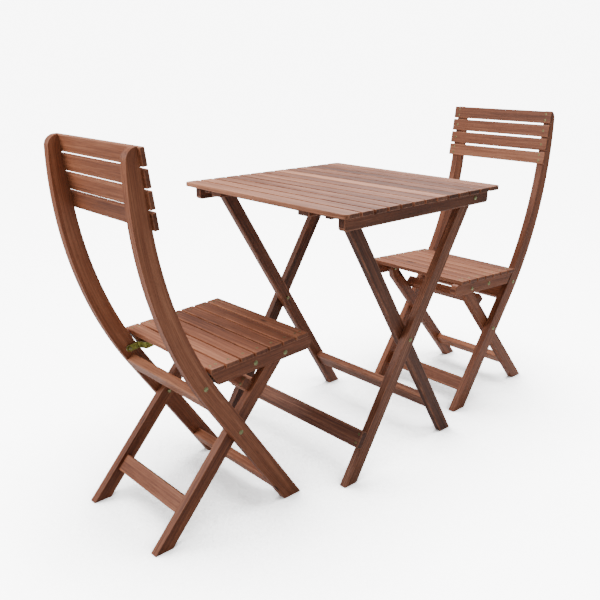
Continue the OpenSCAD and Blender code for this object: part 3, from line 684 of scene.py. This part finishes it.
def build_table_bars():
    """The outer legs' stretcher lies on them and is screwed; the inner legs' stretcher
    and flat top bar are set between them."""
    up = np.array([-OUTER_WAY[1], OUTER_WAY[0]])
    drop = CROSS_Z - OUTER_STRETCH_Z
    centre = np.array([CROSS_Y - drop*math.tan(LEAN), OUTER_STRETCH_Z]) + (LEG_W + STRETCH_T)/2*up
    stock = Stock(25)
    bar(stock, OUT_X + LEG_T, centre, OUTER_WAY, STRETCH_W, STRETCH_T, tint=-0.1)
    finish_piece("outer_stretcher", stock, "table_outer_frame", "table_outer_stretcher", ON_TABLE)
    stock = Stock(26)
    for sx in (-1, 1):
        for s in (-1, 1):
            at = centre + s*STRETCH_W/4*OUTER_WAY + STRETCH_T/2*up
            screw_head(stock, (sx*(OUT_X + LEG_T/2), *at), (0, *up))
    finish_piece("outer_stretcher_screws", stock, "table_outer_frame", "table_stretcher_screws",
                 SCREWS)
    stock = Stock(27)
    drop = CROSS_Z - INNER_STRETCH_Z
    centre = np.array([CROSS_Y + drop*math.tan(LEAN), INNER_STRETCH_Z])
    bar(stock, IN_X, centre, INNER_WAY, STRETCH_W, STRETCH_T, tint=-0.2)
    finish_piece("inner_stretcher", stock, "table_inner_frame", "table_inner_stretcher", ON_TABLE)
    stock = Stock(28)
    low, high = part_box("table_inner_crossbar")
    centre = ((low.y + high.y)/2, (low.z + high.z)/2)
    bar(stock, IN_X, centre, (1, 0), high.y - low.y, high.z - low.z, tint=-0.2)
    finish_piece("inner_top_bar", stock, "table_inner_frame", "table_inner_crossbar", ON_TABLE)


def build_table_bolts():
    stock = Stock(29)
    for sx in (-1, 1):
        bolt_and_nut(stock, sx, PIVOT, RAIL_IN + LEG_T + HAIR, OUT_X - HAIR)
    finish_piece("pivot_bolts", stock, "table_outer_frame", "table_pivot_bolts", BOLTS)
    stock = Stock(30)
    for sx in (-1, 1):
        bolt_and_nut(stock, sx, (CROSS_Y, CROSS_Z), OUT_X + LEG_T, IN_X - HAIR)
    finish_piece("crossing_bolts", stock, "table_outer_frame", "table_crossing_bolts", BOLTS)


# ---------------------------------------------------------------- chairs


def post_lines():
    """Rear and front edge lines of a post, from the floor to the top: straight, then
    an arc each, then straight in front; the rear top corner is a quarter circle. The
    third value is where the front's straight upper part starts."""
    foot = CROSS - CROSS[1]/math.cos(POST_LEAN)*UP_POST
    start = foot + POST_STRAIGHT*UP_POST
    front0 = start + POST_W/2*ACROSS_POST
    rear0 = start - POST_W/2*ACROSS_POST
    front_c = front0 + FRONT_R*ACROSS_POST
    rear_c = rear0 + REAR_R*ACROSS_POST
    front = [front_c - FRONT_R*facing(a) for a in np.linspace(POST_LEAN, BACK_LEAN, 27)]
    flat_start = front[-1]
    top_front = flat_start + (CHAIR_H - flat_start[1])/math.cos(BACK_LEAN)*heading(BACK_LEAN)
    rear = [rear_c - REAR_R*facing(a) for a in np.linspace(POST_LEAN, math.radians(4.2), 27)]
    lows = [on_floor(rear0, UP_POST), rear0 - 0.2*UP_POST] + rear
    highs = [on_floor(front0, UP_POST), front0 - 0.2*UP_POST] + front
    left = rear_c[0] - REAR_R
    shoulder = CHAIR_H - POST_TOP_R
    # from here each rear point has its front point at a share of the straight part
    steps = max(2, int((shoulder - rear[-1][1])/0.02))
    for k in range(1, steps + 1):
        z = rear[-1][1] + (shoulder - rear[-1][1])*k/steps
        turn = math.asin(min(1.0, max(-1.0, (rear_c[1] - z)/REAR_R)))
        lows.append(np.array([rear_c[0] - REAR_R*math.cos(turn), z]))
        highs.append(flat_start + (top_front - flat_start)*k/(steps + 2.0))
    base = steps/(steps + 2.0)
    for k, a in enumerate(np.radians(np.linspace(12, 84, 6))):
        lows.append(np.array([left + POST_TOP_R*(1 - math.cos(a)),
                              shoulder + POST_TOP_R*math.sin(a)]))
        highs.append(flat_start + (top_front - flat_start)*(base + (1 - base)*(k + 1)/6))
    return np.array(lows), np.array(highs), flat_start


def rear_leg_lines():
    """Edge lines of a rear leg: cut level at the floor, rounded round the front pivot."""
    foot = CROSS - CROSS[1]/math.cos(REAR_LEAN)*UP_REAR
    q = np.linspace(0, math.radians(72), 6)
    arc = np.array([FRONT_PIVOT + UP_REAR*REAR_HEAD_R*math.sin(a) for a in q])
    wide = REAR_HEAD_R*np.cos(q)[:, None]
    lines = []
    for s in (1, -1):
        half = s*ACROSS_REAR*REAR_W/2
        lines.append(np.vstack([on_floor(foot + half, UP_REAR), CROSS + 0.188*UP_REAR + half,
                                arc + s*ACROSS_REAR*wide]))
    return lines


def seat_spot(along, up):
    """Place in the side view given from the front pivot, along and square to the seat."""
    return FRONT_PIVOT + along*SEAT_DIR + up*SEAT_UP


def seat_rail_lines():
    """Edge lines of a seat rail: cut beside the post behind, rounded in front."""
    tip = SEAT_FRONT + SEAT_NOSE - SEAT_NOSE_R
    middle = (SEAT_RAIL_LOW + SEAT_RAIL_TOP)/2
    plane = CROSS + (POST_W/2 + POST_GAP)*ACROSS_POST
    lines = []
    for s, level in ((-1, SEAT_RAIL_LOW), (1, SEAT_RAIL_TOP)):
        back = np.dot(plane - seat_spot(0.0, level), ACROSS_POST)/np.dot(SEAT_DIR, ACROSS_POST)
        line = [seat_spot(back, level)]
        for a in np.linspace(0, math.radians(74), 6):
            line.append(seat_spot(tip + SEAT_NOSE_R*math.sin(a), middle + s*SEAT_NOSE_R*math.cos(a)))
        lines.append(np.array(line))
    return lines


def slat_screws(stock, at, axis):
    """A screw over each of the two plates that carry a chair's slats."""
    for sx in (-1, 1):
        screw_head(stock, (sx*(HALF_W - LEG_T/2), *at), (0, *axis))


def build_posts(done, seed, lows, highs):
    for k, name, x0 in sides(POST_IN):
        stock = Stock(seed + 1 + k)
        side_plate(stock, x0, LEG_T, lows, highs, ease=0.0024, tint=-0.12)
        done(f"post_{name}", stock, "posts", f"{name}_post", ON_CHAIR)


def build_back(done, seed, flat_start):
    """Four slats on the posts' straight part. The outermost have two screws at each
    end, the others one."""
    up, out = heading(BACK_LEAN), facing(BACK_LEAN)
    reach = (CHAIR_H - flat_start[1])/math.cos(BACK_LEAN) - SLAT*math.tan(BACK_LEAN)
    stock, screws = Stock(seed + 3), Stock(seed + 4)
    for i in range(4):
        c = flat_start + reach*up - (CHAIR_SLAT_W/2 + i*PITCH)*up
        bar(stock, CHAIR_SLAT_L/2, c + SLAT/2*out, up, CHAIR_SLAT_W, SLAT, ease=0.0016)
        for s in ((-1, 1) if i in (0, 3) else (0,)):
            slat_screws(screws, c + s*CHAIR_SLAT_W/4*up + SLAT*out, out)
    done("back_boards", stock, "posts", "back_slats", ON_CHAIR)
    done("back_screw_heads", screws, "posts", "back_screws", SCREWS)


def build_post_bars(done, seed):
    """The two bars between the posts, flush with their rear edge, and the post bolts."""
    for name, d, k in (("mid_bar", 0.123, 5), ("low_bar", -0.201, 6)):
        stock = Stock(seed + k)
        c = CROSS + d*UP_POST - (POST_W - POST_BAR_T)/2*ACROSS_POST
        bar(stock, POST_IN, c, UP_POST, CHAIR_BAR_W, POST_BAR_T, ease=0.002, tint=0.5)
        done(name, stock, "posts", name, ON_CHAIR)
    stock = Stock(seed + 7)
    for sx in (-1, 1):
        bolt_and_nut(stock, sx, CROSS, HALF_W, REAR_IN - HAIR)
        bolt_and_nut(stock, sx, POST_PIVOT, HALF_W, POST_IN - LINK_T - 2*HAIR, 4.4, 1.0)
    done("post_bolt_set", stock, "posts", "post_bolts", BOLTS)


def build_rear_frame(done, seed):
    """Rear legs, the stretcher set between them, the bar that lies on them and is
    screwed, and the front pivot bolts."""
    lines = rear_leg_lines()
    for k, name, x0 in sides(REAR_IN):
        stock = Stock(seed + 8 + k)
        side_plate(stock, x0, LEG_T, *lines, ease=0.002, tint=-0.3)
        done(f"rear_leg_{name}", stock, "rear_frame", f"{name}_rear_leg", ON_CHAIR)
    stock = Stock(seed + 10)
    bar(stock, REAR_IN, CROSS - 0.206*UP_REAR, UP_REAR, CHAIR_BAR_W, REAR_BAR_T, ease=0.002,
        tint=0.45)
    done("rear_stretcher", stock, "rear_frame", "rear_stretcher", ON_CHAIR)
    c = CROSS + 0.100*UP_REAR + (REAR_W + SEAT_BAR_T)/2*ACROSS_REAR
    stock, screws = Stock(seed + 11), Stock(seed + 12)
    bar(stock, REAR_IN + SEAT_BAR_OVER, c, UP_REAR, SEAT_BAR_W, SEAT_BAR_T, ease=0.002, tint=0.1)
    for sx in (-1, 1):
        for s in (-1, 1):
            at = c + s*SEAT_BAR_W/4*UP_REAR + SEAT_BAR_T/2*ACROSS_REAR
            screw_head(screws, (sx*(REAR_IN + SEAT_BAR_OVER/2), *at), (0, *ACROSS_REAR))
    done("seat_bar", stock, "rear_frame", "seat_bar", ON_CHAIR)
    done("seat_bar_screws", screws, "rear_frame", "bar_screws", SCREWS)
    stock = Stock(seed + 13)
    for sx in (-1, 1):
        bolt_and_nut(stock, sx, FRONT_PIVOT, HALF_W + HAIR, REAR_IN)
    done("front_pivot_bolts", stock, "rear_frame", "front_bolts", BOLTS)


def build_seat(done, seed):
    """Seat rails, seven slats with their screws, and the rail bolts with the sleeves
    that reach in to the links."""
    lines = seat_rail_lines()
    for k, name, x0 in sides(POST_IN):
        stock = Stock(seed + 14 + k)
        side_plate(stock, x0, LEG_T, *lines, ease=0.002, tint=-0.35)
        done(f"seat_rail_{name}", stock, "seat", f"{name}_seat_rail", ON_CHAIR)
    stock, screws = Stock(seed + 16), Stock(seed + 17)
    for i in range(7):
        middle = SEAT_FRONT - CHAIR_SLAT_W/2 - i*PITCH
        bar(stock, CHAIR_SLAT_L/2, seat_spot(middle, SEAT_RAIL_TOP + SLAT/2), SEAT_DIR,
            CHAIR_SLAT_W, SLAT, ease=0.0018)
        for s in ((-1, 1) if i in (0, 6) else (0,)):
            slat_screws(screws, seat_spot(middle + s*CHAIR_SLAT_W/5, SEAT_RAIL_TOP + SLAT), SEAT_UP)
    done("seat_boards", stock, "seat", "seat_slats", ON_CHAIR)
    done("seat_screw_heads", screws, "seat", "seat_screws", SCREWS)
    stock = Stock(seed + 18)
    sleeve = np.array([(0, 22.6), (5.2, 22.6), (6, 22.0), (6, 0), (0, 0)])*MM
    for sx in (-1, 1):
        bolt_head(stock, (sx*HALF_W, *RAIL_PIVOT), (sx, 0, 0))
        turned(stock, sleeve, (sx*POST_IN, *RAIL_PIVOT), (-sx, 0, 0), 28)
    done("rail_bolt_set", stock, "seat", "link_bolts", BOLTS)


def build_links(done, seed):
    """Bent steel strips, each with a nut: half width follows a circle at both ends, and
    the strip steps inwards by a smooth s-curve between the post and the seat rail."""
    run = np.linalg.norm(RAIL_PIVOT - POST_PIVOT)
    way = (RAIL_PIVOT - POST_PIVOT)/run
    side = np.array([-way[1], way[0]])
    q = np.radians(np.linspace(78, 0, 8))
    s = np.concatenate([-LINK_R*np.sin(q), np.linspace(0.004, 0.022, 4),
                        np.linspace(0.024, 0.038, 12), np.linspace(0.045, run - 0.004, 5),
                        run + LINK_R*np.sin(q[::-1])])
    past = np.where(s < 0, s, np.maximum(s - run, 0))
    half = np.sqrt(np.maximum(LINK_R*LINK_R - past*past, 0))
    t = np.clip((s - 0.0235)/0.0125, 0, 1)
    outer = POST_IN - HAIR
    x = outer + (LINK_IN - outer)*t*t*(3 - 2*t) - LINK_T
    centre = POST_PIVOT + s[:, None]*way
    nut_rows = np.array([(0, 3.5), (4.2, 3.5), (4.9, 3.3), (5.2, 2.9), (5.2, 0), (0, 0)])*MM
    for k, (name, sx) in enumerate((("left", -1), ("right", 1))):
        stock = Stock(seed + 19 + k)
        low = np.column_stack([sx*x, centre - half[:, None]*side])
        high = np.column_stack([sx*x, centre + half[:, None]*side])
        board(stock, low, high, (sx*LINK_T, 0, 0), ease=0.0005, tint=0.0)
        nut_place = (sx*(LINK_IN - LINK_T), *RAIL_PIVOT)
        turned(stock, nut_rows, nut_place, (-sx, 0, 0), 36, six=(2, 3, 4))
        done(f"link_{name}", stock, "links", f"{name}_link", LINKS)


def build_chair(which, sign, seed):
    """One chair, worked out in its own side view and set down by a half turn or none."""
    def spot(points):
        return np.column_stack([CHAIR_X + sign*points[:, 0], sign*(points[:, 1] - CHAIR_Y),
                                points[:, 2]])

    def done(name, stock, body, node, finish):
        finish_piece(f"{which}_{name}", stock, f"{which}_chair_{body}", f"{which}_chair_{node}",
                     finish, spot)

    lows, highs, flat_start = post_lines()
    build_posts(done, seed, lows, highs)
    build_back(done, seed, flat_start)
    build_post_bars(done, seed)
    build_rear_frame(done, seed)
    build_seat(done, seed)
    build_links(done, seed)


build_inner_boards()
build_edge_boards()
build_top_rails()
build_under_top()
build_table_legs()
build_table_bars()
build_table_bolts()
build_chair("near", 1, 100)
build_chair("far", -1, 200)

# ---------------------------------------------------------------- studio


FLOOR_GLOW = 8.0    # of the floor and the air, for what the camera sees straight on


def build_floor():
    """A wide pale floor that turns up into a rim in every direction round the set: flat,
    then a quarter circle. Camera rays also see it glow, with painted shadow where the set is near."""
    count, flat_r, rim_r = 96, 7.0, 2.5
    a = np.linspace(0, 2*math.pi, count, endpoint=False)
    q = np.linspace(0, math.pi/2, 12)
    radius = np.concatenate([np.linspace(0.5, flat_r, 12), flat_r + rim_r*np.sin(q[1:])])
    height = np.concatenate([np.zeros(12), rim_r*(1 - np.cos(q[1:]))])
    ring = np.stack([radius[:, None]*np.cos(a), radius[:, None]*np.sin(a),
                     np.repeat(height[:, None], count, 1)], -1)
    points = np.vstack([ring.reshape(-1, 3), [(0, 0, 0)]])
    index = np.arange(len(radius)*count).reshape(len(radius), count)
    turn = np.roll(index, -1, axis=1)
    faces = np.stack([index[:-1], index[1:], turn[1:], turn[:-1]], -1).reshape(-1, 4).tolist()
    faces += [(len(radius)*count, int(index[0, j]), int(turn[0, j])) for j in range(count)]
    mesh = bpy.data.meshes.new("studio_floor")
    mesh.from_pydata(points.tolist(), [], faces)
    mesh.polygons.foreach_set("use_smooth", np.ones(len(mesh.polygons), bool))
    made, tree, shader = new_material("pale_floor")
    shader.inputs["Base Color"].default_value = (0.60, 0.60, 0.60, 1)
    shader.inputs["Roughness"].default_value = 0.32
    shader.inputs["Specular IOR Level"].default_value = 0.25
    # painted shadow: ambient occlusion dims the glow the camera sees where the set is near
    shade = put(tree, "ShaderNodeAmbientOcclusion", samples=4, Distance=0.55).outputs["AO"]
    glow = put(tree, "ShaderNodeEmission", Color=(1, 1, 1, 1),
               Strength=math_of(tree, "MULTIPLY", math_of(tree, "POWER", shade, 3.2), FLOOR_GLOW))
    seen = put(tree, "ShaderNodeLightPath").outputs["Is Camera Ray"]
    lit = put(tree, "ShaderNodeMixShader", i0=seen)
    both = put(tree, "ShaderNodeAddShader", i0=shader.outputs[0], i1=glow.outputs[0])
    tree.links.new(shader.outputs[0], lit.inputs[1])
    tree.links.new(both.outputs[0], lit.inputs[2])
    tree.links.new(lit.outputs[0], tree.nodes["Material Output"].inputs["Surface"])
    mesh.materials.append(made)
    floor = bpy.data.objects.new("studio_floor", mesh)
    bpy.context.scene.collection.objects.link(floor)


def soft_light(name, place, target, size, power):
    """A square or oblong area light at place that points at target."""
    lamp = bpy.data.lights.new(name, "AREA")
    lamp.shape, lamp.size, lamp.size_y = "RECTANGLE", size[0], size[1]
    lamp.energy = power
    holder = bpy.data.objects.new(name, lamp)
    bpy.context.scene.collection.objects.link(holder)
    holder.location = place
    way = np.array(target, float) - np.array(place, float)
    holder.rotation_euler = (math.atan2(math.hypot(way[0], way[1]), -way[2]), 0,
                             math.atan2(way[1], way[0]) - math.pi/2)


build_floor()
world = bpy.data.worlds.new("studio_air")
world.use_nodes = True
air = world.node_tree
seen = put(air, "ShaderNodeLightPath").outputs["Is Camera Ray"]
strength = put(air, "ShaderNodeMath", operation="MULTIPLY_ADD", i0=seen, i1=FLOOR_GLOW,
               i2=0.50).outputs[0]
air.links.new(strength, air.nodes["Background"].inputs[1])
air.nodes["Background"].inputs[0].default_value = (1, 1, 1, 1)
bpy.context.scene.world = world
soft_light("overhead", (-0.5, 1.1, 2.8), (0, 0, 0.4), (1.8, 1.8), 135)
soft_light("back_window", (-1.2, -2.6, 2.0), (0, -0.2, 0.4), (1.4, 1.4), 60)
